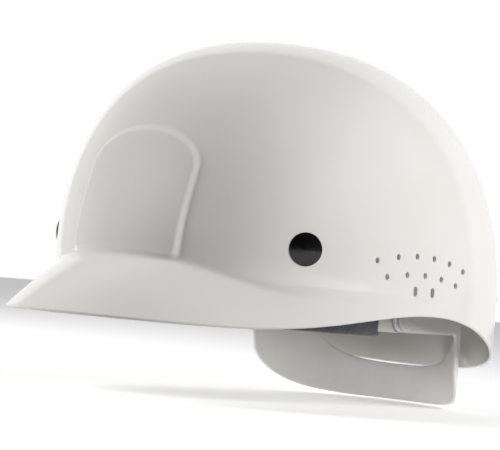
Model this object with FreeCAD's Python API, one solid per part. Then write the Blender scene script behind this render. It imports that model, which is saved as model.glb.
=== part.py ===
import FreeCAD, Part
import math
import os

# Bump cap: a moulded shell over a moulded cradle (headband, crossed crown straps, nape strap).
# Millimetres.  +X is the wearer's left, -Y the visor, +Z up.
# The origin is the middle of the headband, on the plane of its lower edge.

# shell, outer skin
shell_half_width = 104.0
shell_half_length = 116.7
shoulder_height = 18.7
crown_rise = 120.2
crown_power = 2.30
plan_power = 2.11
crown_lean = 0.079
front_flat = 8.0
shell_wall = 1.8
dome_turn = 8.0      # degrees; the dome's rows end this far above its foot
dome_rows = 12
wall_rows = 4
visor_rows = 7

# visor and rim; phi is the plan angle from the front in degrees
visor_flare = 0.365
visor_spread = 38.0
visor_tip_height = -3.0
visor_side_height = -3.5
visor_bow = 0.25
side_flare = 0.022
rim_arch_height = 10.0
rim_arch_phi = 87.0
rim_back_height = -18.5
crease_height = 26.8
skirt_height = 12.5

# raised arch panel on the front
panel_half_width = 34.0
panel_straight_height = 69.0
panel_arch_rise = 19.5
panel_foot_height = 27.0
panel_raise = 2.0

# vents in each side
vent_radius = 1.5
vent_slot_length = 5.0
vent_middle_y = -11.5
vent_pitch = 12.1
vent_top_height = 37.5
vent_row_drop = 8.8
vent_bow = 0.0048
vent_slot_height = 20.8

# plugs that hold the cradle in the shell
plug_head_radius = 8.0
plug_head_height = 2.6
plug_shank_radius = 3.9
plug_fit = 0.05
front_plug_phi = 51.3
front_plug_height = 36.0
rear_plug_phi = 143.0
rear_plug_height = 20.5
retainer_radius = 7.0
retainer_thickness = 2.0
plug_tail = 0.6       # shank past the retainer, before its tapered tip
hanger_gap = 1.6
boss_gap = 0.9
hanger_thickness = 2.0
hanger_pad_radius = 10.0
front_shelf_height = 27.0
rear_shelf_height = 30.0
foot_drop = 14.0
foot_spread = 6.0
peg_radius = 2.4
peg_rise = 4.0       # peg's middle above the foot's lower edge
key_drop = 4.0

# headband
band_half_width = 78.0
band_half_length = 100.0
band_straight = 24.0
band_thickness = 1.4
band_height = 30.0
band_overlap_step = 1.9
band_pin_radius = 2.4
band_pin_pitch = 14.0
band_pin_height = 22.0
foot_gap = 0.3
overlap_turn = 198.0

# sweatband
sweat_end_y = -14.0
sweat_thickness = 4.0
sweat_wrap = 2.0
sweat_wrap_height = 12.0

# crown straps
strap_width = 18.0
strap_thickness = 1.5
crown_clearance = 20.9   # between the straps and the shell's top
strap_top = shoulder_height + crown_rise - crown_clearance
strap_stack = 3.2
arch_power = 2.0
strap_stand_off = 8.4
strap_leg = 14.0
crown_disc_radius = 17.0
crown_disc_thickness = 2.4
crown_pad_radius = 28.0
crown_pad_thickness = 6.0
rivet_radius = 2.5

# nape strap
nape_thickness = 1.6
nape_side_gap = 0.6
nape_back_gap = 3.0
nape_arm_low = 0.5
nape_arm_high = 12.5
nape_pivot_y = 4.0
nape_pivot_height = 6.5
nape_leg_y = 61.0
nape_depth = 37.0
nape_band = 19.0
stud_radius = 2.5
stud_head = 2.5      # head stands this far out round the shank
stud_fit = 0.06

X = FreeCAD.Vector(1, 0, 0)
Y = FreeCAD.Vector(0, 1, 0)
Z = FreeCAD.Vector(0, 0, 1)
CLEAR = 0.3


def vec(x, y, z=0.0):
    return FreeCAD.Vector(x, y, z)


def bell(value, middle, spread, power=2.0):
    return math.exp(-(abs(value - middle) / spread) ** power)


def ramp(value, start, end):
    t = min(max((value - start) / (end - start), 0.0), 1.0)
    return t * t * (3 - 2 * t)


def signed_power(value, power):
    return math.copysign(abs(value) ** power, value)


def fold(phi):
    """Angle from the front, 0 to 180, the same on both sides."""
    return abs((phi + 180.0) % 360.0 - 180.0)


# ---------------------------------------------------------------- shell skin

def rim_height(phi):
    a = fold(phi)
    if a < rim_arch_phi:
        visor = visor_side_height + (visor_tip_height - visor_side_height) * bell(a, 0, 25)
        return visor + (rim_arch_height - visor) * bell(a, rim_arch_phi, 31)
    return rim_back_height + (rim_arch_height - rim_back_height) * bell(a, rim_arch_phi, 42)


def crease(phi):
    a = fold(phi)
    return (skirt_height + (crease_height - skirt_height) * bell(a, 0, 36, 3)
            + 6.0 * ramp(a, 62, 100) - 18.0 * ramp(a, 105, 150))


def flare(phi):
    a = fold(phi)
    return visor_flare * bell(a, 0, visor_spread) + side_flare * bell(a, 55, 38)


def dome_radius(z):
    h = max(z - shoulder_height, 0.0) / crown_rise
    return max(1 - h ** crown_power, 0.0) ** (1 / crown_power)


def wall_point(phi, z, grow=1.0):
    """Point of the outer skin at plan angle phi and height z, its plan grown by a factor."""
    a = math.radians(phi)
    cx = signed_power(math.sin(a), 2 / plan_power)
    cy = -signed_power(math.cos(a), 2 / plan_power)
    r = dome_radius(z)
    x = shell_half_width * r * cx * grow
    y = shell_half_length * r * cy * grow - crown_lean * max(z - shoulder_height, 0)
    y += front_flat * r * ((1 - cy) / 2) ** 2 * bell(x, 0, 55) * bell(z, 73, 32)
    return vec(x, y, z)


def skin_point(phi, v):
    """Outer skin; v runs 0 at the crown, 1 at the dome's foot, 2 at the crease, 3 at the rim."""
    top = shoulder_height + crown_rise
    foot = shoulder_height + crown_rise * math.sin(math.radians(dome_turn)) ** (2 / crown_power)
    if v <= 1:
        turn = math.radians(90 - (90 - dome_turn) * v)
        z = shoulder_height + crown_rise * math.sin(turn) ** (2 / crown_power)
        return wall_point(phi, min(z, top))
    line = crease(phi)
    if v <= 2:
        return wall_point(phi, foot + (line - foot) * (v - 1))
    q = v - 2
    z = line + (rim_height(phi) - line) * q * (1 - visor_bow * bell(fold(phi), 0, 45) * (1 - q))
    p = wall_point(phi, line, 1 + flare(phi) * q)
    return vec(p.x, p.y, z)


def skin_normal(phi, v):
    if v < 0.02:
        return vec(0, 0, 1)
    step = 0.02
    across = skin_point(phi + 1.0, v) - skin_point(phi - 1.0, v)
    down = skin_point(phi, min(v + step, 3.0)) - skin_point(phi, v - step)
    n = down.cross(across)
    n.normalize()
    return n


def skin_rows():
    """Rows of the skin's net, closer where the visor turns out at the crease."""
    rows = [i / dome_rows for i in range(dome_rows)]
    rows += [1 + i / wall_rows for i in range(wall_rows)]
    rows += [2 + i / visor_rows for i in range(visor_rows + 1)]
    return rows


def skin_face(offset):
    """Smooth face a given distance outside the outer skin, closed round the cap."""
    count = 72
    rows = skin_rows()
    poles = []
    for i in range(count):
        phi = 180.0 + 360.0 * i / count
        line = [skin_point(phi, v) + skin_normal(phi, v) * offset for v in rows]
        line[0] = vec(0, -crown_lean * crown_rise, shoulder_height + crown_rise + offset)
        line[1].z = line[0].z
        poles.append(line)
    spans = len(rows) - 3
    surface = Part.BSplineSurface()
    surface.buildFromPolesMultsKnots(
        poles, [1] * (count + 1), [4] + [1] * (spans - 1) + [4],
        list(range(count + 1)), list(range(spans + 1)), True, False, 3, 3)
    return surface.toShape()


def thick_skin(outer_offset, inner_offset):
    """Closed solid between two skins, joined at the rim."""
    outer = skin_face(outer_offset)
    inner = skin_face(inner_offset)
    rim = Part.makeRuledSurface(lower_edge(outer), lower_edge(inner))
    shell = Part.makeShell([outer, inner, rim])
    shell.sewShape()
    solid = Part.makeSolid(shell)
    if solid.Volume < 0:
        solid.reverse()
    return solid


def lower_edge(face):
    closed = [e for e in face.Edges if not e.Degenerated and e.isClosed()]
    return max(closed, key=lambda e: e.Length)


def arch_block(inset):
    """Block with the panel's arch outline, running forward through the front of the shell."""
    w = panel_half_width - inset
    low = panel_foot_height + inset
    top = panel_straight_height + panel_arch_rise - inset
    rise = panel_arch_rise - inset * 0.5
    spring = top - rise
    y = -60.0
    left = vec(w, y, spring)
    right = vec(-w, y, spring)
    middle = vec(0, y, spring)
    ellipse = Part.Ellipse(middle + X * w, middle + Z * rise, middle)
    curve = Part.Arc(ellipse, 0, math.pi)
    base = [Part.makeLine(right, vec(-w, y, low)), Part.makeLine(vec(-w, y, low), vec(w, y, low)),
            Part.makeLine(vec(w, y, low), left)]
    wire = Part.Wire([curve.toShape()] + base)
    return Part.Face(wire).extrude(vec(0, -80, 0))


def cross_bore(y, z):
    """Round cutter along X through both sides of the shell."""
    reach = shell_half_width + 20
    return Part.makeCylinder(vent_radius, 2 * reach, vec(-reach, y, z), X)


def cross_slot(y, z):
    """Upright slot cutter along X through both sides of the shell."""
    reach = shell_half_width + 20
    tall = vent_slot_length - 2 * vent_radius
    slab = Part.makeBox(2 * reach, 2 * vent_radius, tall, vec(-reach, y - vent_radius, z - tall / 2))
    return slab.fuse([cross_bore(y, z - tall / 2), cross_bore(y, z + tall / 2)]).removeSplitter()


def vents():
    """Two bowed rows of round vents and a pair of short slots below, the same on both sides."""
    cutters = []
    for count, z in ((6, vent_top_height), (5, vent_top_height - vent_row_drop)):
        for i in range(count):
            y = vent_middle_y + vent_pitch * (i - (count - 1) / 2)
            bow = vent_bow * (y - vent_middle_y + 3) ** 2
            cutters.append(cross_bore(y, z - bow))
    for i in (0, 1):
        cutters.append(cross_slot(vent_middle_y + vent_pitch * (i - 0.5), vent_slot_height))
    return cutters


def plug_seat(phi, z):
    """Seat of a plug: point on the outer skin and the outward normal there."""
    p = wall_point(phi, z)
    across = wall_point(phi + 1, z) - wall_point(phi - 1, z)
    down = wall_point(phi, z - 1) - wall_point(phi, z + 1)
    n = down.cross(across)
    n.normalize()
    return p, n


plug_seats = [plug_seat(front_plug_phi, front_plug_height), plug_seat(-front_plug_phi, front_plug_height),
              plug_seat(rear_plug_phi, rear_plug_height), plug_seat(-rear_plug_phi, rear_plug_height)]


def make_shell():
    body = thick_skin(0.0, -shell_wall)
    panel = thick_skin(panel_raise, -shell_wall / 2).common(arch_block(0.0))
    hollow = thick_skin(panel_raise - shell_wall, -shell_wall - 0.5).common(arch_block(shell_wall))
    body = body.fuse(panel).cut(hollow)
    holes = [Part.makeCylinder(plug_shank_radius + plug_fit, 30, p + n * 15, -n) for p, n in plug_seats]
    body = body.cut(holes + vents())
    return body.removeSplitter()


# ---------------------------------------------------------------- plan curves

def band_plan(turn, off=0.0):
    """Plan point on the headband's outer face; turn 0 is the front, 180 the back, + to the left."""
    a = math.radians(turn)
    depth = band_half_length - band_straight
    x = (band_half_width + off) * math.sin(a)
    y = -(depth + off) * math.cos(a)
    return vec(x, y - band_straight * side_share(-y / depth), 0)


def side_share(value):
    """-1 to 1 along the cap; moves the two end arcs apart, so the sides run nearly straight."""
    return math.tanh(2.2 * value) / math.tanh(2.2)


def band_normal(turn):
    t = band_plan(turn + 0.5) - band_plan(turn - 0.5)
    n = vec(t.y, -t.x)
    n.normalize()
    return n


def band_point(turn, out):
    return band_plan(turn) + band_normal(turn) * out


def strip(turns, inner, outer, low, high):
    """Upright curved strip; inner and outer give the distance outside the headband's face."""
    inside = Part.BSplineCurve()
    inside.interpolate([band_point(t, inner(t)) + vec(0, 0, low) for t in turns])
    outside = Part.BSplineCurve()
    outside.interpolate([band_point(t, outer(t)) + vec(0, 0, low) for t in turns])
    a = inside.toShape()
    b = outside.toShape()
    ends = [Part.makeLine(inside.value(inside.FirstParameter), outside.value(outside.FirstParameter)),
            Part.makeLine(inside.value(inside.LastParameter), outside.value(outside.LastParameter))]
    wire = Part.Wire(Part.__sortEdges__([a, b] + ends))
    return Part.Face(wire).extrude(vec(0, 0, high - low))


def spread(start, end, count):
    return [start + (end - start) * i / (count - 1) for i in range(count)]


def turn_at_y(y):
    """Turn of the headband at a given y on the left side."""
    low, high = 0.0, 180.0
    for _ in range(40):
        mid = (low + high) / 2
        if band_plan(mid).y < y:
            low = mid
        else:
            high = mid
    return (low + high) / 2


def turn_facing(point):
    """Turn of the headband nearest to a point."""
    start = -180 if point.x < 0 else 0
    flat = vec(point.x, point.y)
    return min((start + i * 0.25 for i in range(721)), key=lambda t: band_plan(t).distanceToPoint(flat))


# ---------------------------------------------------------------- plugs and hangers

def make_plugs():
    plugs = []
    for p, n in plug_seats:
        bulge = (plug_head_radius ** 2 + plug_head_height ** 2) / (2 * plug_head_height)
        ball = Part.makeSphere(bulge, p + n * (plug_head_height - bulge))
        disc = Part.makeCylinder(plug_head_radius, plug_head_height, p + n * 0.05, n)
        head = disc.common(ball)
        length = shell_wall + hanger_gap + hanger_thickness + CLEAR + retainer_thickness + plug_tail
        shank = Part.makeCylinder(plug_shank_radius, length, p + n * 0.1, -n)
        tip = Part.makeCone(plug_shank_radius, plug_shank_radius - 1.0, 1.5, p - n * (length - 0.1), -n)
        split = Part.makeBox(1.2, 12, 5.0, vec(-0.6, -6, -2.5))
        split.Placement = FreeCAD.Placement(p - n * (length - 0.2), FreeCAD.Rotation(Z, n))
        plugs.append(head.fuse([shank, tip]).cut(split).removeSplitter())
    return Part.makeCompound(plugs)


def make_retainers():
    rings = []
    depth = shell_wall + hanger_gap + hanger_thickness + CLEAR
    for p, n in plug_seats:
        start = p - n * depth
        ring = Part.makeCylinder(retainer_radius, retainer_thickness, start, -n)
        ring = ring.makeFillet(0.6, [e for e in ring.Edges if e.isClosed() and e.Length > 20])
        rings.append(ring.cut(Part.makeCylinder(plug_shank_radius + plug_fit, 20, p, -n)))
    return Part.makeCompound(rings)


def bar(start, end, across, width, thickness):
    """Straight bar between two points; across is its width direction."""
    along = end - start
    length = along.Length
    along.normalize()
    up = along.cross(across)
    up.normalize()
    side = up.cross(along)
    box = Part.makeBox(length, width, thickness, vec(0, -width / 2, -thickness / 2))
    turn = FreeCAD.Rotation(along, side, up, "XYZ")
    box.Placement = FreeCAD.Placement(start, turn)
    return box


def hanger_frame(index):
    """Plug seat, headband turn, shelf height and the strap's place for one hanger."""
    p, n = plug_seats[index]
    turn = turn_facing(p)
    shelf = front_shelf_height if index < 2 else rear_shelf_height
    place = band_point(turn, strap_stand_off)
    return p, n, turn, shelf, vec(place.x, place.y, shelf)


def make_hanger(index):
    """Pad against the shell, shelf across the gap, curved foot pinned to the headband."""
    p, n, turn, shelf, _ = hanger_frame(index)
    level = vec(n.x, n.y)
    level.normalize()
    across = Z.cross(level)
    depth = shell_wall + hanger_gap
    pad = Part.makeCylinder(hanger_pad_radius, hanger_thickness, p - n * depth, -n)
    boss = Part.makeCylinder(plug_shank_radius + 2.4, hanger_gap, p - n * (shell_wall + boss_gap), -n)
    rise = shelf - p.z
    slope = n.cross(across)
    if slope.z < 0:
        slope = slope * -1
    start = p - n * (depth + hanger_thickness / 2)
    tail = start + slope * rise
    web = bar(start, tail, across, 2 * hanger_pad_radius * 0.9, hanger_thickness)
    foot = strip(spread(turn - foot_spread, turn + foot_spread, 7), lambda t: foot_gap,
                 lambda t: foot_gap + hanger_thickness, shelf - foot_drop, shelf)
    inner = band_point(turn, foot_gap + 0.6)
    inner_end = vec(inner.x, inner.y, shelf)
    outer_end = vec(tail.x, tail.y, shelf) - level * (hanger_thickness * 0.3)
    arm = bar(inner_end, outer_end, across, strap_width + 4.4, hanger_thickness)
    peg_at = band_point(turn, foot_gap + 0.5) + vec(0, 0, shelf - foot_drop + peg_rise)
    peg = Part.makeCylinder(peg_radius, band_thickness + foot_gap + 0.5, peg_at, -band_normal(turn))
    hang = pad.fuse([boss, web, foot, arm, peg])
    hang = hang.cut(Part.makeCylinder(plug_shank_radius + 0.1, 30, p + n * 5, -n))
    return hang.cut(strap_slot(index)).removeSplitter()


def strap_axis(pair):
    """Plan ends of one crown strap: front hanger to the opposite rear hanger."""
    front = hanger_frame(0 if pair > 0 else 1)[4]
    rear = hanger_frame(3 if pair > 0 else 2)[4]
    return front, rear


def strap_slot(index):
    pair = 1 if index in (0, 3) else -1
    front, rear = strap_axis(pair)
    here = front if index < 2 else rear
    along = vec(rear.x - front.x, rear.y - front.y)
    along.normalize()
    box = Part.makeBox(strap_thickness + 0.8, strap_width + 1.0, 12,
                       vec(-(strap_thickness + 0.8) / 2, -(strap_width + 1.0) / 2, -6))
    box.Placement = FreeCAD.Placement(here, FreeCAD.Rotation(along, Z.cross(along), Z, "XYZ"))
    return box


def make_strap(pair, drop):
    """Moulded crown strap: an arch with upright ends and a cross bar under each shelf."""
    front, rear = strap_axis(pair)
    along = vec(rear.x - front.x, rear.y - front.y)
    half = along.Length / 2
    along.normalize()
    middle = vec((front.x + rear.x) / 2, (front.y + rear.y) / 2)
    top = strap_top - drop
    start_z = strap_spring(front, rear)
    low_front = front.z - key_drop
    low_rear = rear.z - key_drop

    def foot_of(end, grow, height):
        return middle + along * (end * (half + grow)) + vec(0, 0, height)

    def arch(grow):
        points = [foot_of(-1, grow, low_front), foot_of(-1, grow, start_z - 8)]
        for i in range(17):
            a = math.pi * i / 16
            share = (abs(math.cos(a)) ** arch_power + abs(math.sin(a)) ** arch_power) ** (-1 / arch_power)
            s = -math.cos(a) * share * (half + grow)
            z = start_z + abs(math.sin(a)) * share * (top - start_z + grow)
            points.append(middle + along * s + vec(0, 0, z))
        points += [foot_of(1, grow, start_z - 8), foot_of(1, grow, low_rear)]
        curve = Part.BSplineCurve()
        curve.interpolate(points)
        return curve

    outer = arch(strap_thickness / 2)
    inner = arch(-strap_thickness / 2)
    edges = [outer.toShape(), inner.toShape(), Part.makeLine(outer.StartPoint, inner.StartPoint),
             Part.makeLine(outer.EndPoint, inner.EndPoint)]
    face = Part.Face(Part.Wire(Part.__sortEdges__(edges)))
    side = Z.cross(along)
    band = face.extrude(side * strap_width)
    band.translate(side * (-strap_width / 2))
    keys = []
    for spot in (foot_of(-1, 0, low_front), foot_of(1, 0, low_rear)):
        key = Part.makeBox(4.0, strap_width, 3.0, vec(-2.0, -strap_width / 2, -1.0))
        key.Placement = FreeCAD.Placement(spot, FreeCAD.Rotation(along, side, Z, "XYZ"))
        keys.append(key)
    body = band.fuse(keys)
    x, y = crown_centre()
    hole = Part.makeCylinder(rivet_radius + plug_fit, 40, vec(x, y, top - 20), Z)
    return body.cut(hole).removeSplitter()


def crown_centre():
    front, rear = strap_axis(1)
    share = front.x / (front.x - rear.x)
    return 0.0, front.y + (rear.y - front.y) * share


def strap_spring(front, rear):
    """Height where a strap's upright ends turn into its arch."""
    return (front.z + rear.z) / 2 + strap_leg


def strap_height(drop, away=0.0):
    """Height of a strap's middle line, a distance down from where the straps cross."""
    front, rear = strap_axis(1)
    half = vec(rear.x - front.x, rear.y - front.y).Length / 2
    x, y = crown_centre()
    share = (vec(x - (front.x + rear.x) / 2, y - (front.y + rear.y) / 2).Length + away) / half
    spring = strap_spring(front, rear)
    return spring + (strap_top - drop - spring) * (1 - share ** arch_power) ** (1 / arch_power)


def under_straps(away):
    """Height just clear of the lower strap's inner face, a distance out from the crossing."""
    return strap_height(strap_stack, away) - strap_thickness / 2 - CLEAR


def make_crown_rivet():
    x, y = crown_centre()
    top = strap_height(0) + strap_thickness / 2 + 0.5
    low = disc_top() - 2.0
    head = Part.makeCylinder(8.0, 2.0, vec(x, y, top), Z)
    head = head.makeFillet(0.9, [e for e in head.Edges if e.isClosed() and e.CenterOfMass.z > top + 1])
    shank = Part.makeCylinder(rivet_radius, top + 0.5 - low, vec(x, y, low), Z)
    return head.fuse(shank).removeSplitter()


def disc_top():
    return under_straps(crown_disc_radius)


def make_crown_disc():
    """Disc that spreads the straps' load, with a boss up to the lower strap."""
    x, y = crown_centre()
    low = disc_top() - crown_disc_thickness
    disc = Part.makeCylinder(crown_disc_radius, crown_disc_thickness, vec(x, y, low), Z)
    disc = disc.makeFillet(0.8, [e for e in disc.Edges if e.isClosed()])
    boss_radius = rivet_radius + 2.2
    boss = Part.makeCylinder(boss_radius, under_straps(boss_radius) - low - 0.5, vec(x, y, low + 0.5), Z)
    hole = Part.makeCylinder(rivet_radius + plug_fit, 20, vec(x, y, low - 5), Z)
    return disc.fuse(boss).cut(hole).removeSplitter()


def make_crown_pad():
    """Foam pad under the disc, clear of the straps at its edge."""
    x, y = crown_centre()
    top = min(disc_top() - crown_disc_thickness, under_straps(crown_pad_radius)) - CLEAR
    pad = Part.makeCylinder(crown_pad_radius, crown_pad_thickness, vec(x, y, top - crown_pad_thickness), Z)
    return pad.makeFillet(2.4, [e for e in pad.Edges if e.isClosed()])


# ---------------------------------------------------------------- headband

def end_step(turn):
    """The strip's left end steps outward at the back to lie over its right end."""
    return band_overlap_step * ramp(turn, 148, 158)


def make_headband():
    turns = spread(-overlap_turn, overlap_turn, 101)
    band = strip(turns, lambda t: end_step(t) - band_thickness, end_step, 0.0, band_height)
    cuts = []
    for index in range(4):
        turn, shelf = hanger_frame(index)[2:4]
        at = band_point(turn, 5) + vec(0, 0, shelf - foot_drop + peg_rise)
        cuts.append(Part.makeCylinder(peg_radius + plug_fit, 12, at, -band_normal(turn)))
    cuts += [stud_bore(side) for side in (-1, 1)]
    for i in range(-3, 4):
        cuts.append(Part.makeCylinder(band_pin_radius + plug_fit, 14, pin_place(i) + Y * 8, -Y))
    return band.cut(cuts).removeSplitter()


def stud_bore(side):
    """Running-fit bore for a nape stud, through one side of the strips."""
    start = vec(side * (band_half_width + 15), nape_pivot_y, nape_pivot_height)
    return Part.makeCylinder(stud_radius + stud_fit, 30, start, X * -side)


def pin_place(i):
    """Hole i of the size row; the two pins use holes -2 and 2."""
    return vec(i * band_pin_pitch / 2, band_half_length, band_pin_height)


def make_band_pins():
    """Two push pins through the overlapping ends; one bar joins their heads."""
    out = band_half_length + band_overlap_step + CLEAR
    base = band_half_length - band_thickness - 1.0
    corner = vec(-band_pin_pitch - 4, out, band_pin_height - 4.5)
    head = Part.makeBox(2 * band_pin_pitch + 8, 2.0, 9.0, corner)
    head = head.makeFillet(0.7, head.Edges)
    pins = []
    for side in (-1, 1):
        start = vec(side * band_pin_pitch, base, band_pin_height)
        pins.append(Part.makeCylinder(band_pin_radius, out - base + 0.5, start, Y))
    return head.fuse(pins).removeSplitter()


def make_sweatband():
    """Folded pad: thick inside layer, turned under the lower edge and up the outside."""
    end = turn_at_y(sweat_end_y)
    turns = spread(-end, end, 61)
    inner_out = -band_thickness - CLEAR
    back = inner_out - sweat_thickness
    front = CLEAR + sweat_wrap
    inside = strip(turns, lambda t: back, lambda t: inner_out, -2.0, band_height + 1.5)
    under = strip(turns, lambda t: back, lambda t: front, -2.0 - CLEAR, -CLEAR)
    outside = strip(turns, lambda t: CLEAR, lambda t: front, -2.0, sweat_wrap_height)
    return inside.fuse([under, outside]).removeSplitter()


# ---------------------------------------------------------------- nape strap

def nape_out(turn):
    a = abs(turn)
    return nape_side_gap + (nape_back_gap - nape_side_gap) * ramp(a, 100, 150)


def make_nape_strap():
    """Strap behind the head: arms on the sides, broad legs, and a lower band joining them."""
    front = turn_at_y(nape_pivot_y - 9)
    turns = spread(front, 360 - front, 91)
    inner = [nape_out(wrap(t)) for t in turns]
    place = dict(zip(turns, inner))
    blank = strip(turns, lambda t: place[t], lambda t: place[t] + nape_thickness,
                  -nape_depth - 1, nape_arm_high + 4)
    strap = blank.common(nape_profile())
    return strap.cut([stud_bore(side) for side in (-1, 1)]).removeSplitter()


def wrap(turn):
    return (turn + 180.0) % 360.0 - 180.0


def curve_through(points):
    """Smooth edge through points given as y, z pairs."""
    curve = Part.BSplineCurve()
    curve.interpolate([vec(0, y, z) for y, z in points])
    return curve.toShape()


def nape_profile():
    """Side outline of the strap in Y and Z, from the pivot end to beyond the back."""
    nose = nape_pivot_y - 7.0
    arm_end = nose + 6.0
    leg = nape_leg_y
    far = band_half_length + 12
    band_top = nape_band - nape_depth
    tip = vec(0, nose, (nape_arm_low + nape_arm_high) / 2)
    nose_top = vec(0, arm_end, nape_arm_high)
    nose_low = vec(0, arm_end, nape_arm_low)
    knee_low = vec(0, leg, nape_arm_low - 4)
    knee_mid = vec(0, leg - 1.2, nape_arm_low - 1.2)
    knee_high = vec(0, leg - 4, nape_arm_low)
    leg_low = vec(0, leg + 1.5, -17)
    edges = [
        curve_through([(arm_end, nape_arm_high), (leg - 14, nape_arm_high - 0.4),
                       (leg + 15, nape_arm_high - 4), (leg + 25, nape_arm_low - 1),
                       (leg + 33, band_top + 5), (far, band_top)]),
        Part.makeLine(vec(0, far, band_top), vec(0, far, -nape_depth)),
        curve_through([(leg + 1.5, -17), (leg + 7, -25), (leg + 17, -32),
                       (leg + 29, -nape_depth + 0.8), (far, -nape_depth)]),
        Part.makeLine(leg_low, knee_low),
        Part.Arc(knee_low, knee_mid, knee_high).toShape(),
        Part.makeLine(knee_high, nose_low),
        Part.Arc(nose_low, tip, nose_top).toShape(),
    ]
    wire = Part.Wire(Part.__sortEdges__(edges))
    block = Part.Face(wire).extrude(vec(2 * band_half_width + 60, 0, 0))
    block.translate(vec(-band_half_width - 30, 0, 0))
    return block


def make_nape_studs():
    """Headed studs on the headband's sides; the nape strap's arms swing on them."""
    face = band_point(turn_at_y(nape_pivot_y), nape_out(0) + nape_thickness + CLEAR).x
    inside = band_half_width - band_thickness - CLEAR
    studs = []
    for side in (-1, 1):
        outer = vec(side * face, nape_pivot_y, nape_pivot_height)
        inner = vec(side * inside, nape_pivot_y, nape_pivot_height)
        head = Part.makeCylinder(stud_radius + stud_head, 1.6, outer, X * side)
        brim = [e for e in head.Edges if e.isClosed() and abs(e.CenterOfMass.x) > face + 1]
        head = head.makeFillet(0.6, brim)
        shank = Part.makeCylinder(stud_radius, face + 0.5 - inside, inner, X * side)
        flange = Part.makeCylinder(stud_radius + 2.0, 0.9, inner + X * (side * 0.1), X * -side)
        studs.append(head.fuse([shank, flange]).removeSplitter())
    return Part.makeCompound(studs)


def save(name, shape):
    shape.exportStep("parts/%s.step" % name)


os.makedirs("parts", exist_ok=True)
save("shell", make_shell())
save("shell_plugs", make_plugs())
save("plug_retainers", make_retainers())
for index, name in enumerate(("front_left", "front_right", "rear_left", "rear_right")):
    save("hanger_" + name, make_hanger(index))
save("headband", make_headband())
save("headband_pins", make_band_pins())
save("sweatband", make_sweatband())
save("crown_strap_upper", make_strap(1, 0.0))
save("crown_strap_lower", make_strap(-1, strap_stack))
save("crown_rivet", make_crown_rivet())
save("crown_disc", make_crown_disc())
save("crown_pad", make_crown_pad())
save("nape_strap", make_nape_strap())
save("nape_studs", make_nape_studs())
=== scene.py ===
import math
import bpy
import bmesh
import numpy as np
from mathutils import Vector, Matrix
from mathutils.kdtree import KDTree


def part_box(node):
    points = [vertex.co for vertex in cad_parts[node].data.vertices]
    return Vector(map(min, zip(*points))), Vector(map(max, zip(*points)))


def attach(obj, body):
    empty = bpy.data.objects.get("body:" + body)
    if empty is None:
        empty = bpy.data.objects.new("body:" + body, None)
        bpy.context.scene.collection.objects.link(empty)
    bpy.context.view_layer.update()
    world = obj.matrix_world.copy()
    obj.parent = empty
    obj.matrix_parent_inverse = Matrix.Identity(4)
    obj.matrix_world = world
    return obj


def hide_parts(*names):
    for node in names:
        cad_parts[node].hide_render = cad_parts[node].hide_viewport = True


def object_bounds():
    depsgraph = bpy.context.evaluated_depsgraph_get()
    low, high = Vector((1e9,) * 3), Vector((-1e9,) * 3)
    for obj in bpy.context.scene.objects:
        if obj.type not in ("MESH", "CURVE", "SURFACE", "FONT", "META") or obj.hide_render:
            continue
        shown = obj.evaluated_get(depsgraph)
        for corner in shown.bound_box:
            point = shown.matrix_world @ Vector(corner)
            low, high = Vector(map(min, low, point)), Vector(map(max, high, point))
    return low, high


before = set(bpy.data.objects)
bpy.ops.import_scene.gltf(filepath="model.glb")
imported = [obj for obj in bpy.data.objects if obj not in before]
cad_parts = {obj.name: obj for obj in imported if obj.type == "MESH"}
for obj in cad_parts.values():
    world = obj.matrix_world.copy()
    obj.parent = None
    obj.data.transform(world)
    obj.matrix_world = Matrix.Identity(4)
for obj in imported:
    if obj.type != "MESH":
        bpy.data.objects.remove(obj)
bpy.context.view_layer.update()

# bump cap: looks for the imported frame. metres in the scene, millimetres in the dictionaries
# +X wearer's left, -Y visor, +Z up

print("frame loaded", len(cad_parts), "nodes")


# small helpers

def srgb(hexText):
    # sRGB hex to linear colour
    values = [int(hexText[i:i + 2], 16) / 255 for i in (1, 3, 5)]
    return tuple(v / 12.92 if v <= 0.04045 else ((v + 0.055) / 1.055) ** 2.4 for v in values) + (1.0,)


def newMaterial(name):
    mat = bpy.data.materials.new(name)
    mat.use_nodes = True
    mat.node_tree.nodes.clear()
    return mat


def addNode(owner, kind, settings=None, links=None, **inputs):
    # one node in a material or world: settings are attributes, inputs are socket values,
    # and links are (socket name, source socket)
    node = owner.node_tree.nodes.new(kind)
    for key, value in (settings or {}).items():
        setattr(node, key, value)
    for key, value in inputs.items():
        node.inputs[key.replace("_", " ")].default_value = value
    for target, source in (links or {}).items():
        owner.node_tree.links.new(source, node.inputs[target])
    return node


def rampStops(node, stops):
    ramp = node.color_ramp
    while len(ramp.elements) > len(stops):
        ramp.elements.remove(ramp.elements[-1])
    while len(ramp.elements) < len(stops):
        ramp.elements.new(0.5)
    for element, (place, value) in zip(ramp.elements, stops):
        element.position = place
        element.color = value if isinstance(value, tuple) else (value, value, value, 1)
    return node


def meshObject(name, points, faces, smooth=True):
    mesh = bpy.data.meshes.new(name)
    mesh.from_pydata([tuple(p) for p in points], [], [tuple(f) for f in faces])
    mesh.validate()
    obj = bpy.data.objects.new(name, mesh)
    bpy.context.scene.collection.objects.link(obj)
    if smooth:
        mesh.polygons.foreach_set("use_smooth", [True] * len(mesh.polygons))
    return obj


def active(obj):
    bpy.ops.object.select_all(action="DESELECT")
    obj.select_set(True)
    bpy.context.view_layer.objects.active = obj


def applyModifiers(obj):
    active(obj)
    for modifier in list(obj.modifiers):
        bpy.ops.object.modifier_apply(modifier=modifier.name)


def turnOut(obj, weld=0.0):
    # join points closer than weld, then face every polygon outward
    bm = bmesh.new()
    bm.from_mesh(obj.data)
    if weld:
        bmesh.ops.remove_doubles(bm, verts=bm.verts, dist=weld)
    bmesh.ops.recalc_face_normals(bm, faces=bm.faces)
    bm.to_mesh(obj.data)
    bm.free()


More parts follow.
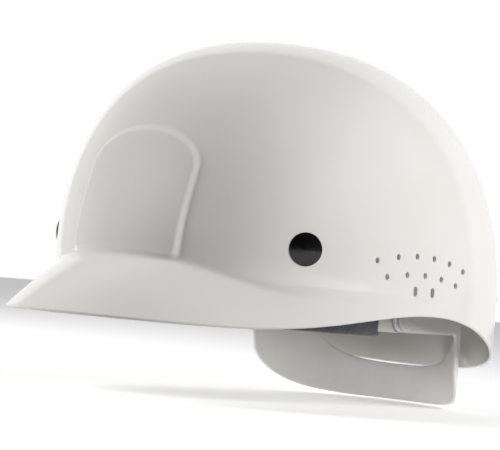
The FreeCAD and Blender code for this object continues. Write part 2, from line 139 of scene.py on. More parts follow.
def bell(value, middle, width, power=2.0):
    return np.exp(-(np.abs(value - middle) / width) ** power)


def smoothStep(value, start, end):
    t = np.clip((value - start) / (end - start), 0, 1)
    return t * t * (3 - 2 * t)


def signedPower(value, power):
    return np.sign(value) * np.abs(value) ** power


# shell: dome, crease, visor, raised front panel

shell = {
    "halfWidth": 104.0, "halfLength": 116.7, "shoulder": 18.7, "rise": 120.2,
    "domePower": 2.30, "planPower": 2.11, "lean": 0.079, "frontFlat": 8.0, "wall": 1.8,
    "flare": 0.365, "flareSpread": 38.0, "sideFlare": 0.022, "sideFlarePhi": 55.0, "sideFlareSpread": 38.0,
    "flatHalfWidth": 55.0, "flatHeight": 73.0, "flatSpread": 32.0,
    "tipHeight": -3.0, "visorHeight": -3.5, "visorBow": 0.25,
    "archHeight": 10.0, "archPhi": 87.0, "backHeight": -18.5,
    "crease": 26.8, "skirt": 12.5, "creaseSoft": 0.07,
    "panelHalf": 34.0, "panelSpring": 69.0, "panelRise": 19.5, "panelFoot": 27.0,
    "panelRaise": 2.0, "panelEdge": 3.2, "panelCorner": 2.0, "panelFootBow": 0.0012, "panelWall": 1.6,
    "domeTurn": 8.0,
}


def foldAngle(phi):
    return np.abs((phi + 180) % 360 - 180)


def rimHeight(phi):
    a = foldAngle(phi)
    visor = shell["visorHeight"] + (shell["tipHeight"] - shell["visorHeight"]) * bell(a, 0, 25)
    ahead = visor + (shell["archHeight"] - visor) * bell(a, shell["archPhi"], 31)
    behind = shell["backHeight"] + (shell["archHeight"] - shell["backHeight"]) * bell(a, shell["archPhi"], 42)
    return np.where(a < shell["archPhi"], ahead, behind)


def creaseHeight(phi):
    a = foldAngle(phi)
    return (shell["skirt"] + (shell["crease"] - shell["skirt"]) * bell(a, 0, 36, 3)
            + 6 * smoothStep(a, 62, 100) - 18 * smoothStep(a, 105, 150))


def flareShare(phi):
    a = foldAngle(phi)
    return shell["flare"] * bell(a, 0, shell["flareSpread"]) + shell["sideFlare"] * bell(
        a, shell["sideFlarePhi"], shell["sideFlareSpread"])


def wallPoint(phi, z, grow):
    a = np.radians(phi)
    cx = signedPower(np.sin(a), 2 / shell["planPower"])
    cy = -signedPower(np.cos(a), 2 / shell["planPower"])
    h = np.clip((z - shell["shoulder"]) / shell["rise"], 0, 1)
    r = (1 - h ** shell["domePower"]) ** (1 / shell["domePower"])
    x = shell["halfWidth"] * r * cx * grow
    y = shell["halfLength"] * r * cy * grow - shell["lean"] * np.clip(z - shell["shoulder"], 0, None)
    flat = bell(x, 0, shell["flatHalfWidth"]) * bell(z, shell["flatHeight"], shell["flatSpread"])
    y = y + shell["frontFlat"] * r * ((1 - cy) / 2) ** 2 * flat
    return np.stack([x, y, z + 0 * x], -1)


def skinPoint(phi, v):
    # v: 0 crown, 1 foot of the dome, 2 crease, 3 rim
    sine = math.sin(math.radians(shell["domeTurn"]))
    foot = shell["shoulder"] + shell["rise"] * sine ** (2 / shell["domePower"])
    turn = np.radians(90 - (90 - shell["domeTurn"]) * np.clip(v, 0, 1))
    zDome = shell["shoulder"] + shell["rise"] * np.sin(turn) ** (2 / shell["domePower"])
    line = creaseHeight(phi)
    rim = rimHeight(phi)
    bow = shell["visorBow"] * bell(foldAngle(phi), 0, 45)
    q = v - 2
    zWall = foot + (line - foot) * (v - 1)
    zVisor = line + (rim - line) * q * (1 - bow * (1 - q))
    z = np.where(v <= 1, zDome, np.where(v <= 2, zWall, zVisor))
    depth = np.where(v <= 2, (line - z) / (line - rim) / (1 - bow), q)
    hinge = 0.5 * (depth + np.sqrt(depth ** 2 + shell["creaseSoft"] ** 2))
    return wallPoint(phi, z, 1 + flareShare(phi) * hinge)


def panelMask(points, inset):
    # 0 outside, 1 on the raised panel, with rounded edges
    x, y, z = points[..., 0], points[..., 1], points[..., 2]
    w = shell["panelHalf"] - inset
    rise = shell["panelRise"] - inset * 0.5
    up = np.clip(z - (shell["panelSpring"] + inset * -0.5), 0, None)
    side = w - np.abs(x)
    f = np.sqrt((x / w) ** 2 + (up / rise) ** 2)
    slope = np.sqrt(x ** 2 / w ** 4 + up ** 2 / rise ** 4) / np.maximum(f, 1e-6)
    arch = (1 - f) / np.maximum(slope, 1e-6)
    top = np.where(up > 0, arch, side)
    base = z - (shell["panelFoot"] + inset) + shell["panelFootBow"] * x ** 2
    soft = shell["panelCorner"]
    both = -soft * np.log(np.exp(-np.clip(top, -30, 30) / soft) + np.exp(-np.clip(base, -30, 30) / soft))
    mask = smoothStep(both, -0.5 * shell["panelEdge"], 0.75 * shell["panelEdge"])
    return mask * (y < 0)


def gridNormals(phi, v, point):
    across = point(phi + 0.05, v) - point(phi - 0.05, v)
    down = point(phi, np.clip(v + 0.004, 0, 3.1)) - point(phi, np.clip(v - 0.004, 0, 3.1))
    n = np.cross(down, across)
    n[v < 0.012] = (0, 0, 1)
    return n / np.linalg.norm(n, axis=-1, keepdims=True)


def outerSkin(phi, v):
    base = skinPoint(phi, v)
    normal = gridNormals(phi, v, skinPoint)
    return base + normal * (shell["panelRaise"] * panelMask(base, 0))[..., None]


def innerSkin(phi, v):
    base = skinPoint(phi, v)
    normal = gridNormals(phi, v, skinPoint)
    hollow = shell["panelRaise"] * panelMask(base, shell["panelWall"])
    return base + normal * (hollow - shell["wall"])[..., None]


def shellSteps():
    # closer steps where the panel and crease are
    phi = [-180.0]
    while phi[-1] < 180 - 1e-6:
        gap = 0.38 if abs(phi[-1]) < 30 else 0.8 if abs(phi[-1]) < 70 else 1.25
        phi.append(min(phi[-1] + gap, 180.0))
    phi = np.array(phi[:-1])
    stretches = [(0, 0.5, 40), (0.5, 1, 90), (1, 2, 22), (2, 2.25, 14), (2.25, 2.965, 22)]
    v = np.concatenate([[0]] + [np.linspace(*stretch)[1:] for stretch in stretches])
    return phi, v


def buildShell():
    phi, v = shellSteps()
    gridPhi, gridV = np.meshgrid(phi, v[1:], indexing="ij")
    outer = outerSkin(gridPhi, gridV)
    outerN = gridNormals(gridPhi, gridV, outerSkin)
    inner = innerSkin(gridPhi, gridV)[:, ::-1]
    innerN = -gridNormals(gridPhi, gridV, innerSkin)[:, ::-1]
    # rounded lip between the two skins
    edge, edgeN = outer[:, -1], outerN[:, -1]
    middle = (edge + inner[:, 0]) / 2
    outward = edge - outer[:, -2]
    outward -= edgeN * np.sum(outward * edgeN, -1, keepdims=True)
    outward /= np.linalg.norm(outward, axis=-1, keepdims=True)
    half = np.linalg.norm(edge - inner[:, 0], axis=-1, keepdims=True) / 2
    lip, lipN = [], []
    for step in range(1, 8):
        a = math.pi * step / 8
        n = edgeN * math.cos(a) + outward * math.sin(a)
        lip.append(middle + n * half)
        lipN.append(n)
    rows = np.concatenate([outer, np.stack(lip, 1), inner], 1)
    normals = np.concatenate([outerN, np.stack(lipN, 1), innerN], 1)
    count, deep = rows.shape[:2]
    crown = np.array([0, -shell["lean"] * shell["rise"], shell["shoulder"] + shell["rise"]])
    points = np.concatenate([rows.reshape(-1, 3), [crown, crown - (0, 0, shell["wall"])]])
    allN = np.concatenate([normals.reshape(-1, 3), [(0, 0, 1), (0, 0, -1)]])
    faces = []
    top, low = count * deep, count * deep + 1
    for i in range(count):
        j = (i + 1) % count
        a, b = i * deep, j * deep
        faces.append((top, a, b))
        faces.extend((a + k, a + k + 1, b + k + 1, b + k) for k in range(deep - 1))
        faces.append((low, b + deep - 1, a + deep - 1))
    obj = meshObject("shellSkin", points / 1000, faces)
    return obj, points / 1000, allN


def lathe(name, profile, start, axis, turns=48):
    # profile: (radius, along) pairs in metres, closed on the axis at both ends
    rotation = Vector(axis).to_track_quat("Z", "Y").to_matrix()
    points, faces = [], []
    for i in range(turns):
        a = 2 * math.pi * i / turns
        for radius, along in profile:
            spot = Vector((radius * math.cos(a), radius * math.sin(a), along))
            points.append(Vector(start) + rotation @ spot)
    deep = len(profile)
    for i in range(turns):
        j = (i + 1) % turns
        for k in range(deep - 1):
            faces.append((i * deep + k, j * deep + k, j * deep + k + 1, i * deep + k + 1))
    obj = meshObject(name, points, faces)
    turnOut(obj, weld=1e-6)
    return obj


vents = {
    "radius": 1.5, "pitch": 12.1, "middle": -11.5, "topHeight": 37.5, "rowDrop": 8.8,
    "bow": 0.0048, "slotHeight": 20.8, "slotLength": 5.0, "chamfer": 0.5,
}


def ventPlaces():
    places = []
    for count, z in ((6, vents["topHeight"]), (5, vents["topHeight"] - vents["rowDrop"])):
        for i in range(count):
            y = vents["middle"] + vents["pitch"] * (i - (count - 1) / 2)
            places.append((y, z - vents["bow"] * (y - vents["middle"] + 3) ** 2, 0.0))
    for i in (0, 1):
        places.append((vents["middle"] + vents["pitch"] * (i - 0.5), vents["slotHeight"],
                       vents["slotLength"] - 2 * vents["radius"]))
    return places


def surfaceAt(y, z):
    # x of the outer skin on the left side
    phi = np.linspace(40, 140, 2001)
    p = wallPoint(phi, np.full_like(phi, z), 1 + flareShare(phi) * 0.02)
    return float(p[np.argmin(np.abs(p[:, 1] - y)), 0])


def ventCutter():
    # capsule outline swept through the wall, opening out by a small chamfer at the outer face
    points, faces = [], []
    for side in (-1, 1):
        for y, z, tall in ventPlaces():
            x = surfaceAt(y, z)
            sections = [(x - 6, 0), (x - vents["chamfer"], 0), (x + 1.2, vents["chamfer"] + 1.2)]
            start = len(points)
            for place, grow in sections:
                for k in range(20):
                    a = 2 * math.pi * (k + 0.5) / 20
                    lift = tall / 2 * (1 if math.sin(a) > 0 else -1)
                    r = vents["radius"] + grow * 0.8
                    points.append((side * place, y + r * math.cos(a), z + r * math.sin(a) + lift))
            for s in range(2):
                for k in range(20):
                    m = (k + 1) % 20
                    ring = start + s * 20
                    faces.append((ring + k, ring + m, ring + 20 + m, ring + 20 + k))
            faces.append([start + k for k in range(19, -1, -1)])
            faces.append([start + 40 + k for k in range(20)])
    cutter = meshObject("ventCutter", np.array(points) / 1000, faces, smooth=False)
    turnOut(cutter)
    return cutter


def cutVents(obj, points, normals):
    cutter = ventCutter()
    boolean = obj.modifiers.new("vents", "BOOLEAN")
    boolean.operation = "DIFFERENCE"
    boolean.solver = "EXACT"
    boolean.object = cutter
    applyModifiers(obj)
    bpy.data.objects.remove(cutter)
    tree = KDTree(len(points))
    for i, p in enumerate(points):
        tree.insert(p, i)
    tree.balance()
    mesh = obj.data
    found = {}
    for vert in mesh.vertices:
        near = tree.find_n(vert.co, 3)
        if near[0][2] < 1e-6:
            found[vert.index] = Vector(normals[near[0][1]])
        else:
            total = Vector()
            for co, index, distance in near:
                total += Vector(normals[index]) / (distance + 1e-5)
            found[vert.index] = total.normalized()
    loops = [None] * len(mesh.loops)
    for polygon in mesh.polygons:
        flat = polygon.normal
        for k in polygon.loop_indices:
            n = found[mesh.loops[k].vertex_index]
            loops[k] = n if n.dot(flat) > 0.5 else flat
    mesh.normals_split_custom_set([tuple(n) for n in loops])
    print("shell skin", len(mesh.polygons), "faces")


skin, skinPoints, skinNormals = buildShell()
cutVents(skin, skinPoints, skinNormals)
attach(skin, "cap")
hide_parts("shell")


# sweatband: folded foam pad over the front of the headband, sewn along its flap

headband = {"halfWidth": 78.0, "halfLength": 100.0, "straight": 24.0, "thickness": 1.4}
sweatband = {
    "endY": -14.0, "clear": 0.35, "thick": 3.6, "crown": 1.1, "top": 31.0, "bottom": -2.2,
    "flap": 11.6, "flapThick": 1.7, "flapSeam": 8.6, "insideSeams": (5.0, 26.5), "seamDepth": 0.9,
    "stitch": 2.5, "stitchGap": 1.4, "thread": 0.28, "columns": 320,
}


def bandPoint(turn, out):
    # plan point outside the headband's outer face, and the outward direction there
    def plan(t):
        a = np.radians(t)
        depth = headband["halfLength"] - headband["straight"]
        y = -depth * np.cos(a)
        share = np.tanh(-2.2 * y / depth) / math.tanh(2.2)
        return np.stack([headband["halfWidth"] * np.sin(a), y - headband["straight"] * share], -1)
    t = plan(turn + 0.5) - plan(turn - 0.5)
    normal = np.stack([t[..., 1], -t[..., 0]], -1)
    normal = normal / np.linalg.norm(normal, axis=-1, keepdims=True)
    return plan(turn) + normal * np.asarray(out)[..., None], normal


def bandTurns():
    # turns evenly spaced by length over the padded front
    fine = np.linspace(0, 180, 3601)
    plan, _ = bandPoint(fine, np.zeros_like(fine))
    end = fine[np.argmax(plan[:, 1] > sweatband["endY"])]
    turns = np.linspace(-end, end, 2001)
    plan, _ = bandPoint(turns, np.zeros_like(turns))
    length = np.concatenate([[0], np.cumsum(np.linalg.norm(np.diff(plan, axis=0), axis=1))])
    even = np.linspace(0, length[-1], sweatband["columns"])
    return np.interp(even, length, turns), even


def sweatSection(along, total):
    # J-shaped section as (out, z) loop, puffed inside, pinched at the sewn rows
    b = sweatband
    back = -headband["thickness"] - b["clear"]
    ripple = (0.22 * math.sin(along / 5.1) + 0.16 * math.sin(along / 2.3 + 1.3)
              + 0.12 * math.sin(along / 9.7 + 0.4))
    pucker = 0.14 * math.sin(along * 2 * math.pi / 7.8)
    loop = []
    for k in range(34):
        z = b["top"] - 1.4 + (b["bottom"] + 2.6 - b["top"]) * k / 33
        share = (z - b["bottom"]) / (b["top"] - b["bottom"])
        puff = b["crown"] * max(math.sin(math.pi * share), 0) ** 0.5
        pinch = sum(math.exp(-((z - line) / 1.5) ** 2) for line in b["insideSeams"])
        loop.append((back - b["thick"] - (puff + ripple * puff) * (1 - 0.6 * pinch)
                     + (b["seamDepth"] + pucker) * pinch, z))
    edge = loop[-1][0]
    wide = b["clear"] + b["flapThick"] - edge
    for k in range(1, 14):
        a = math.pi * k / 14
        loop.append((edge + wide * (1 - math.cos(a)) / 2, b["bottom"] + 1.2 - 1.5 * math.sin(a) ** 0.5))
    for k in range(16):
        z = b["bottom"] + 1.6 + (b["flap"] - 0.8 - b["bottom"] - 1.6) * k / 15
        pinch = math.exp(-((z - b["flapSeam"]) / 1.3) ** 2)
        puff = 0.3 * math.sin(math.pi * k / 15) * (1 + ripple)
        loop.append((b["clear"] + b["flapThick"] + puff - 0.75 * pinch, z))
    loop.append((b["clear"] + b["flapThick"] * 0.75, b["flap"] - 0.25))
    loop.append((b["clear"] + b["flapThick"] * 0.3, b["flap"] - 0.2))
    for k in range(10):
        loop.append((b["clear"], b["flap"] - 0.7 + (-b["clear"] - b["flap"] + 0.7) * k / 9))
    loop += [(-headband["thickness"] / 2, -b["clear"]), (back, -b["clear"])]
    for k in range(1, 20):
        loop.append((back, -b["clear"] + (b["top"] - 1.2 + b["clear"]) * k / 19))
    loop += [(back - b["thick"] * 0.2, b["top"] - 0.35), (back - b["thick"] * 0.5, b["top"]),
             (back - b["thick"] * 0.8, b["top"] - 0.4)]
    loop = np.array(loop)
    # the ends are turned in
    near = min(along, total - along)
    if near < 2.0:
        keep = math.sqrt(max(1 - (1 - near / 2.0) ** 2, 0.02))
        solid = np.where(loop[:, 1] > 0, back - b["thick"] / 2, loop[:, 0].mean())
        flapSide = loop[:, 0] > -headband["thickness"] / 2
        solid = np.where(flapSide, b["clear"] + b["flapThick"] / 2, solid)
        loop[:, 0] = solid + (loop[:, 0] - solid) * np.where(loop[:, 1] > -b["clear"], keep, 1)
    return loop


def buildSweatband():
    turns, along = bandTurns()
    rows = []
    for turn, place in zip(turns, along):
        section = sweatSection(place, along[-1])
        plan, _ = bandPoint(np.full(len(section), turn), section[:, 0])
        rows.append(np.column_stack([plan, section[:, 1]]))
    rows = np.array(rows)
    count, deep = rows.shape[:2]
    faces = []
    for i in range(count - 1):
        for k in range(deep):
            m = (k + 1) % deep
            faces.append((i * deep + k, i * deep + m, (i + 1) * deep + m, (i + 1) * deep + k))
    faces.append([deep - 1 - k for k in range(deep)])
    faces.append([(count - 1) * deep + k for k in range(deep)])
    obj = meshObject("sweatbandPad", rows.reshape(-1, 3) / 1000, faces)
    turnOut(obj)
    return obj


def threadRow(points, faces, places, directions, outward):
    # short sewing stitches laid end to end
    b = sweatband
    for place, along, out in zip(places, directions, outward):
        side = np.cross(along, out)
        start = len(points)
        for k in range(9):
            t = k / 8 * 2 - 1
            radius = b["thread"] * math.sqrt(max(1 - t ** 4, 0.03))
            middle = place + along * (t * b["stitch"] / 2) + out * (0.16 * (1 - t * t))
            for m in range(8):
                a = 2 * math.pi * m / 8
                points.append(middle + (out * math.cos(a) + side * math.sin(a)) * radius)
        for k in range(8):
            for m in range(8):
                n = (m + 1) % 8
                ring = start + k * 8
                faces.append((ring + m, ring + n, ring + 8 + n, ring + 8 + m))
        faces.append([start + m for m in range(7, -1, -1)])
        faces.append([start + 64 + m for m in range(8)])


def buildSweatStitches():
    turns, along = bandTurns()
    b = sweatband
    back = -headband["thickness"] - b["clear"]
    points, faces = [], []
    step = b["stitch"] + b["stitchGap"]
    spots = np.arange(3.5, along[-1] - 3.5, step)
    spotTurns = np.interp(spots, along, turns)
    rows = [(b["clear"] + b["flapThick"] - 0.55, b["flapSeam"], 1)]
    rows += [(back - b["thick"] + 0.35, line, -1) for line in b["insideSeams"]]
    for out, z, side in rows:
        plan, normal = bandPoint(spotTurns, np.full(len(spots), out))
        places = np.column_stack([plan, np.full(len(spots), z)])
        outward = np.column_stack([normal * side, np.zeros(len(spots))])
        directions = np.column_stack([-normal[:, 1], normal[:, 0], np.zeros(len(spots))])
        threadRow(points, faces, places, directions, outward)
    obj = meshObject("sweatbandStitches", np.array(points) / 1000, faces)
    turnOut(obj)
    return obj


sweatPad = buildSweatband()
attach(sweatPad, "cap")
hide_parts("sweatband")
sweatThread = buildSweatStitches()
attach(sweatThread, "cap")
print("sweatband", len(sweatPad.data.polygons), "faces")


# crown pad: round fabric-covered foam cushion, puffed by pressure

crownPad = {
    "shrink": 0.95, "halfShare": 0.62, "voxel": 0.0022, "pressure": 4.0, "frames": 20, "cap": 0.0022,
    "crown": 0.0012, "ringPlace": 0.55, "ringWidth": 0.07, "ringDepth": 0.0007, "topClear": 0.0001,
}


def buildCrownPad():
    low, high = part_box("crown_pad")
    middle = Vector(((low[0] + high[0]) / 2, (low[1] + high[1]) / 2, (low[2] + high[2]) / 2))
    radius = (high[0] - low[0]) / 2 * crownPad["shrink"]
    half = (high[2] - low[2]) / 2 * crownPad["halfShare"]
    profile = [(0, -half)] + [(radius * (1 - 0.09 * (1 - math.sin(a))), -half * math.cos(a))
                              for a in np.linspace(0.35, math.pi - 0.35, 9)] + [(0, half)]
    obj = lathe("crownPadCushion", profile, middle, (0, 0, 1))
    remesh = obj.modifiers.new("remesh", "REMESH")
    remesh.mode = "VOXEL"
    remesh.voxel_size = crownPad["voxel"]
    applyModifiers(obj)
    start = np.array([v.co[:] for v in obj.data.vertices])
    cloth = obj.modifiers.new("cloth", "CLOTH")
    cloth.settings.quality = 6
    cloth.settings.mass = 0.2
    cloth.settings.use_pressure = True
    cloth.settings.uniform_pressure_force = crownPad["pressure"]
    cloth.settings.effector_weights.gravity = 0
    cloth.point_cache.frame_start = 1
    cloth.point_cache.frame_end = crownPad["frames"]
    for number in range(1, crownPad["frames"] + 1):
        bpy.context.scene.frame_set(number)
    graph = bpy.context.evaluated_depsgraph_get()
    swollen = obj.evaluated_get(graph).to_mesh()
    moved = np.array([v.co[:] for v in swollen.vertices])
    obj.modifiers.remove(cloth)
    bpy.context.scene.frame_set(1)
    step = moved - start
    far = np.linalg.norm(step, axis=1, keepdims=True)
    moved = start + step * np.minimum(1, crownPad["cap"] / np.maximum(far, 1e-9))
    # rests flat under the disc and crowns toward the head
    plan = np.hypot(moved[:, 0] - middle.x, moved[:, 1] - middle.y) / radius
    dome = np.clip(1 - plan ** 2, 0, 1) * crownPad["crown"]
    moved[:, 2] = np.where(moved[:, 2] < middle.z, moved[:, 2] - dome, moved[:, 2])
    ring = np.exp(-((plan - crownPad["ringPlace"]) / crownPad["ringWidth"]) ** 2) * crownPad["ringDepth"]
    moved[:, 2] = np.where(moved[:, 2] < middle.z, moved[:, 2] + ring, moved[:, 2])
    moved[:, 2] = np.minimum(moved[:, 2], high[2] - crownPad["topClear"])
    for vert, place in zip(obj.data.vertices, moved):
        vert.co = place
    smooth = obj.modifiers.new("smooth", "SUBSURF")
    smooth.levels = smooth.render_levels = 1
    applyModifiers(obj)
    obj.data.polygons.foreach_set("use_smooth", [True] * len(obj.data.polygons))
    return obj


crownCushion = buildCrownPad()
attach(crownCushion, "cap")
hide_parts("crown_pad")
print("crown pad", len(crownCushion.data.polygons), "faces")


# materials

def grain(size):
    # texture scale for a pattern of this size in millimetres
    return 1000 / size


def shellMaterial():
    # injection-moulded glossy polyethylene: milky depth, faint orange peel, a few rub marks in the gloss
    # grain sizes are drawn coarser than the real ones, which would not show at this distance
    mat = newMaterial("mouldedGlossPolyethylene")
    place = addNode(mat, "ShaderNodeTexCoord").outputs["Object"]
    peel = addNode(mat, "ShaderNodeTexNoise", None, {"Vector": place}, Scale=grain(6.25), Detail=3.0)
    wave = addNode(mat, "ShaderNodeTexNoise", None, {"Vector": place}, Scale=grain(45.4545), Detail=1.0)
    smear = addNode(mat, "ShaderNodeTexNoise", None, {"Vector": place},
                    Scale=grain(28.5714), Detail=6.0, Roughness=0.62)
    gloss = rampStops(addNode(mat, "ShaderNodeValToRGB", None, {"Fac": smear.outputs["Fac"]}),
                      [(0.35, 0.07), (0.7, 0.13)])
    tint = rampStops(addNode(mat, "ShaderNodeValToRGB", None, {"Fac": wave.outputs["Fac"]}),
                     [(0.3, srgb("#E9E7E2")), (0.7, srgb("#EDEBE7"))])
    first = addNode(mat, "ShaderNodeBump", None, {"Height": wave.outputs["Fac"]},
                    Strength=0.25, Distance=0.0006)
    bump = addNode(mat, "ShaderNodeBump", None,
                   {"Height": peel.outputs["Fac"], "Normal": first.outputs["Normal"]},
                   Strength=0.12, Distance=0.00012)
    body = addNode(mat, "ShaderNodeBsdfPrincipled", None,
                   {"Base Color": tint.outputs["Color"], "Roughness": gloss.outputs["Color"],
                    "Normal": bump.outputs["Normal"]},
                   IOR=1.52, Subsurface_Weight=0.12, Subsurface_Scale=0.004)
    body.inputs["Subsurface Radius"].default_value = (1.0, 0.9, 0.8)
    addNode(mat, "ShaderNodeOutputMaterial", None, {"Surface": body.outputs["BSDF"]})
    return mat


def satinPlastic(name, colour, rough, pitch, depth, glow=0.0):
    # moulded plastic: fine tool grain in the gloss and the relief, with a slow drift of colour
    mat = newMaterial(name)
    place = addNode(mat, "ShaderNodeTexCoord").outputs["Object"]
    fine = addNode(mat, "ShaderNodeTexNoise", None, {"Vector": place}, Scale=grain(pitch), Detail=4.0)
    broad = addNode(mat, "ShaderNodeTexNoise", None, {"Vector": place}, Scale=grain(25.0), Detail=3.0)
    light, dark = colour
    tint = rampStops(addNode(mat, "ShaderNodeValToRGB", None, {"Fac": broad.outputs["Fac"]}),
                     [(0.35, srgb(dark)), (0.65, srgb(light))])
    gloss = rampStops(addNode(mat, "ShaderNodeValToRGB", None, {"Fac": fine.outputs["Fac"]}),
                      [(0.3, rough - 0.06), (0.7, rough + 0.06)])
    bump = addNode(mat, "ShaderNodeBump", None, {"Height": fine.outputs["Fac"]},
                   Strength=0.3, Distance=depth)
    body = addNode(mat, "ShaderNodeBsdfPrincipled", None,
                   {"Base Color": tint.outputs["Color"], "Roughness": gloss.outputs["Color"],
                    "Normal": bump.outputs["Normal"]},
                   IOR=1.50, Subsurface_Weight=glow, Subsurface_Scale=0.005)
    body.inputs["Subsurface Radius"].default_value = (1.0, 0.95, 0.9)
    addNode(mat, "ShaderNodeOutputMaterial", None, {"Surface": body.outputs["BSDF"]})
    return mat


def clothMaterial(name, colour, pitch):
    # fine loops with fuzz over them, soft sheen at the edges
    mat = newMaterial(name)
    place = addNode(mat, "ShaderNodeTexCoord").outputs["Object"]
    loops = addNode(mat, "ShaderNodeTexVoronoi", {"feature": "F1"}, {"Vector": place}, Scale=grain(pitch))
    fuzz = addNode(mat, "ShaderNodeTexNoise", None, {"Vector": place},
                   Scale=grain(1.1111), Detail=5.0, Roughness=0.7)
    broad = addNode(mat, "ShaderNodeTexNoise", None, {"Vector": place}, Scale=grain(16.6667), Detail=3.0)
    mixed = addNode(mat, "ShaderNodeMath", {"operation": "MULTIPLY_ADD"})
    mat.node_tree.links.new(loops.outputs["Distance"], mixed.inputs[0])
    mixed.inputs[1].default_value = 1.6
    mat.node_tree.links.new(fuzz.outputs["Fac"], mixed.inputs[2])
    light, dark = colour
    tint = rampStops(addNode(mat, "ShaderNodeValToRGB", None, {"Fac": mixed.outputs[0]}),
                     [(0.35, srgb(dark)), (1.0, srgb(light))])
    worn = addNode(mat, "ShaderNodeHueSaturation", None, {"Color": tint.outputs["Color"]})
    mat.node_tree.links.new(addNode(mat, "ShaderNodeMapRange", None, {"Value": broad.outputs["Fac"]},
                                    From_Min=0.3, From_Max=0.7, To_Min=0.85, To_Max=1.15).outputs[0],
                            worn.inputs["Value"])
    bump = addNode(mat, "ShaderNodeBump", None, {"Height": mixed.outputs[0]}, Strength=0.8, Distance=0.0005)
    body = addNode(mat, "ShaderNodeBsdfPrincipled", None,
                   {"Base Color": worn.outputs["Color"], "Normal": bump.outputs["Normal"]},
                   Roughness=0.95, Sheen_Weight=0.25, Sheen_Roughness=0.5)
    body.inputs["Specular IOR Level"].default_value = 0.2
    addNode(mat, "ShaderNodeOutputMaterial", None, {"Surface": body.outputs["BSDF"]})
    return mat


shellPlastic = shellMaterial()
# push plugs: nylon moulded in a polished tool, near black with a tight highlight
blackPlastic = satinPlastic("mouldedBlackNylon", ("#0B0B0B", "#060606"), 0.26, 3.3333, 0.00003)
# retaining rings: the same nylon from an unpolished tool, so greyer and dull
retainerPlastic = satinPlastic("mattBlackNylon", ("#1A1A1A", "#121212"), 0.45, 1.1111, 0.00008)
# headband, hangers and disc: moulded natural polyethylene, waxy off-white with a broad soft highlight
cradlePlastic = satinPlastic("mouldedWhitePolyethylene", ("#E6E5E0", "#DEDDD7"), 0.42, 1.1111, 0.00008)
# crown straps: moulded against a pebbled tool, which breaks the highlight up
strapPlastic = satinPlastic("pebbledPolyethyleneStrap", ("#E2E1DC", "#D8D7D1"), 0.5, 1.4286, 0.00014)
# nape strap: thin moulded polyethylene, light comes through it, and its base colour is painted lighter than
# the other polyethylene parts as a painted lift for its shaded inside
napePlastic = satinPlastic("mouldedNapePolyethylene", ("#F4F3F0", "#EDECE8"), 0.38, 1.25, 0.00008, 1.0)
# rivet, studs and pins: moulded acetal, smooth and a little brighter in its highlight
pinPlastic = satinPlastic("mouldedAcetal", ("#DEDDD8", "#D4D3CD"), 0.3, 1.1111, 0.00004)
# sweatband and crown pad: brushed knit laminated to foam, dark grey with lit fuzz at the edges
terry = clothMaterial("brushedKnitOverFoam", ("#6A6B6D", "#2E2F31"), 0.9)
# sewing thread: spun polyester, lighter than the knit so that the rows read
thread = clothMaterial("spunPolyesterThread", ("#8A8B8D", "#5A5B5D"), 0.3)

looks = {
    "shell_plugs": blackPlastic, "plug_retainers": retainerPlastic,
    "hanger_front_left": cradlePlastic, "hanger_front_right": cradlePlastic,
    "hanger_rear_left": cradlePlastic, "hanger_rear_right": cradlePlastic,
    "headband": cradlePlastic, "headband_pins": pinPlastic, "crown_strap_upper": strapPlastic,
    "crown_strap_lower": strapPlastic, "crown_rivet": pinPlastic, "crown_disc": cradlePlastic,
    "nape_strap": napePlastic, "nape_studs": pinPlastic,
}
for node, mat in looks.items():
    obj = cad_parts[node]
    obj.data.materials.clear()
    obj.data.materials.append(mat)
skin.data.materials.append(shellPlastic)
for obj in (sweatPad, crownCushion):
    obj.data.materials.append(terry)
sweatThread.data.materials.append(thread)
print("materials done")


# floor, light and camera

studio = {
    "floorDrop": 0.001, "floorSize": 8.0,
    "darkSide": -62.0,
    "walls": [(0.0, 1.0), (0.12, 1.0), (0.15, 0.42), (0.24, 0.4), (0.36, 0.16), (0.5, 0.07), (1.0, 0.03)],
    "fromBelow": (-0.35, -0.85, 0.9),
}
lamps = {   # plan angle, elevation, distance, size, watts
    "keySoftbox": (5.0, 22.0, 1.6, 0.9, 23.5),
    "leftSoftbox": (-150.0, 20.0, 1.6, 1.0, 28.0),
}


def buildStage():
    low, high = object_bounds()
    ground = low.z - studio["floorDrop"]
    half = studio["floorSize"] / 2
    corners = [(-half, -half, ground), (half, -half, ground), (half, half, ground), (-half, half, ground)]
    floor = meshObject("floor", corners, [(0, 1, 2, 3)])
    # uncoated white paper: no highlight, only the soft contact shadow shows on it
    mat = newMaterial("mattPaleFloorPaper")
    place = addNode(mat, "ShaderNodeTexCoord").outputs["Object"]
    fibre = addNode(mat, "ShaderNodeTexNoise", None, {"Vector": place}, Scale=grain(3.3333), Detail=5.0)
    tint = rampStops(addNode(mat, "ShaderNodeValToRGB", None, {"Fac": fibre.outputs["Fac"]}),
                     [(0.3, srgb("#FAFAFA")), (0.7, srgb("#FFFFFF"))])
    body = addNode(mat, "ShaderNodeBsdfPrincipled", None, {"Base Color": tint.outputs["Color"]},
                   Roughness=0.9, Emission_Strength=0.3)
    body.inputs["Emission Color"].default_value = (1, 1, 1, 1)
    # seen from underneath the paper is clear
    under = addNode(mat, "ShaderNodeNewGeometry")
    clear = addNode(mat, "ShaderNodeBsdfTransparent")
    mix = addNode(mat, "ShaderNodeMixShader", None, {"Fac": under.outputs["Backfacing"]})
    mat.node_tree.links.new(body.outputs["BSDF"], mix.inputs[1])
    mat.node_tree.links.new(clear.outputs["BSDF"], mix.inputs[2])
    addNode(mat, "ShaderNodeOutputMaterial", None, {"Surface": mix.outputs["Shader"]})
    floor.data.materials.append(mat)
    floor.visible_diffuse = False


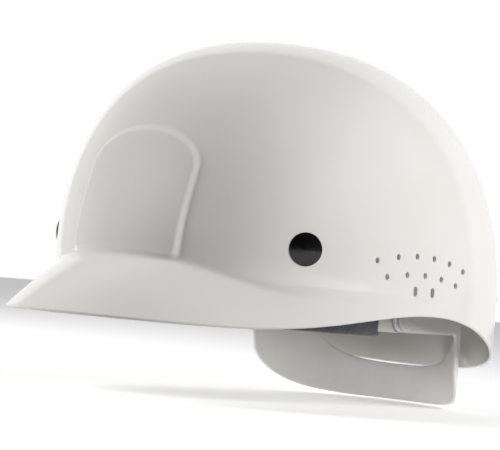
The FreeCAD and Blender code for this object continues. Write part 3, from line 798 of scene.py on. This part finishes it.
def buildLamps():
    target = Vector((0, 0, 0.05))
    for name, (plan, rise, distance, size, watts) in lamps.items():
        a, e = math.radians(plan), math.radians(rise)
        data = bpy.data.lights.new(name, "AREA")
        data.size = size
        data.energy = watts
        obj = bpy.data.objects.new(name, data)
        bpy.context.scene.collection.objects.link(obj)
        away = Vector((math.cos(a) * math.cos(e), math.sin(a) * math.cos(e), math.sin(e)))
        obj.location = target + away * distance
        obj.rotation_euler = away.to_track_quat("Z", "Y").to_euler()
        obj.visible_glossy = False


def buildWorld():
    # white studio with a darker side in front of the visor
    world = bpy.data.worlds.new("paleStudio")
    bpy.context.scene.world = world
    world.use_nodes = True
    world.node_tree.nodes.clear()
    place = addNode(world, "ShaderNodeTexCoord").outputs["Generated"]
    dot = addNode(world, "ShaderNodeVectorMath", {"operation": "DOT_PRODUCT"})
    world.node_tree.links.new(place, dot.inputs[0])
    side = math.radians(studio["darkSide"])
    dot.inputs[1].default_value = (math.cos(side), math.sin(side), 0)
    half = addNode(world, "ShaderNodeMapRange", None, {"Value": dot.outputs["Value"]}, From_Min=-1)
    walls = addNode(world, "ShaderNodeValToRGB", None, {"Fac": half.outputs["Result"]})
    rampStops(walls, studio["walls"])
    # bounce from a bright table top lights the inside of the cap
    split = addNode(world, "ShaderNodeSeparateXYZ")
    world.node_tree.links.new(place, split.inputs[0])
    start, end, strength = studio["fromBelow"]
    below = addNode(world, "ShaderNodeMapRange", None, {"Value": split.outputs["Z"]},
                    From_Min=start, From_Max=end, To_Max=strength)
    total = addNode(world, "ShaderNodeVectorMath")
    world.node_tree.links.new(walls.outputs["Color"], total.inputs[0])
    world.node_tree.links.new(below.outputs["Result"], total.inputs[1])
    # plain white behind the object, the studio everywhere else
    sight = addNode(world, "ShaderNodeLightPath")
    mix = addNode(world, "ShaderNodeMix", {"data_type": "RGBA"},
                  {"Factor": sight.outputs["Is Camera Ray"], "A": total.outputs["Vector"]}, B=(1, 1, 1, 1))
    back = addNode(world, "ShaderNodeBackground", None, {"Color": mix.outputs["Result"]})
    addNode(world, "ShaderNodeOutputWorld", None, {"Surface": back.outputs["Background"]})


view = {   # degrees and millimetres; width is what the lens takes in at the cap
    "azimuth": 42.0, "elevation": -1.0, "roll": 4.98,
    "distance": 1400.0, "width": 252.9084, "right": 12.5443, "up": 48.2549, "sensor": 36.0,
}


def buildCamera():
    # a long lens, turned and rolled for the product view
    a, e, r = (math.radians(view[key]) for key in ("azimuth", "elevation", "roll"))
    back = Vector((math.sin(a) * math.cos(e), -math.cos(a) * math.cos(e), math.sin(e)))
    right = Vector((math.cos(a), math.sin(a), 0))
    up = back.cross(right)
    rolledRight = right * math.cos(r) + up * math.sin(r)
    rolledUp = -right * math.sin(r) + up * math.cos(r)
    place = back * view["distance"] - rolledRight * view["right"] + rolledUp * view["up"]
    data = bpy.data.cameras.new("productCamera")
    data.sensor_width = view["sensor"]
    data.lens = view["sensor"] * view["distance"] / view["width"]
    data.clip_end = 50
    camera = bpy.data.objects.new("productCamera", data)
    bpy.context.scene.collection.objects.link(camera)
    camera.matrix_world = Matrix((
        (rolledRight.x, rolledUp.x, back.x, place.x / 1000),
        (rolledRight.y, rolledUp.y, back.y, place.y / 1000),
        (rolledRight.z, rolledUp.z, back.z, place.z / 1000),
        (0, 0, 0, 1)))
    bpy.context.scene.camera = camera


buildStage()
buildWorld()
buildLamps()
buildCamera()
bpy.context.scene.view_settings.view_transform = "Standard"
print("stage, lights and camera done")
